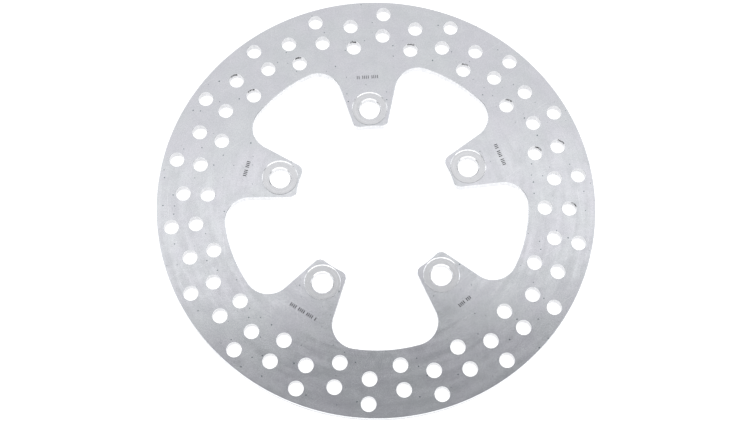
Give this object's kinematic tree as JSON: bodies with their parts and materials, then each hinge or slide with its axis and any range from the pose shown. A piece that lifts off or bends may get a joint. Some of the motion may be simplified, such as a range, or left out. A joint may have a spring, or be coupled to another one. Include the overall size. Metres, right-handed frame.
{
  "type": "motorcycle brake disc",
  "caption": "Flat one-piece motorcycle brake disc: a drilled braking band with inward bolting lugs, each with a spot-faced bolt hole, round an open centre.",
  "frame": {"origin": "on the disc's axis, in the plane of the hub-side face", "axes": "+Z along the disc's axis, from the hub side to the spot-faced outer side; +Y through the middle of a lug"},
  "size_m": [0.22, 0.22, 0.005],
  "materials": {
    "ground_steel": "ground stainless steel with a fine directional grind, satin"
  },
  "bodies": {
    "root": {"rotor_disc": "ground_steel"}
  },
  "joints": []
}
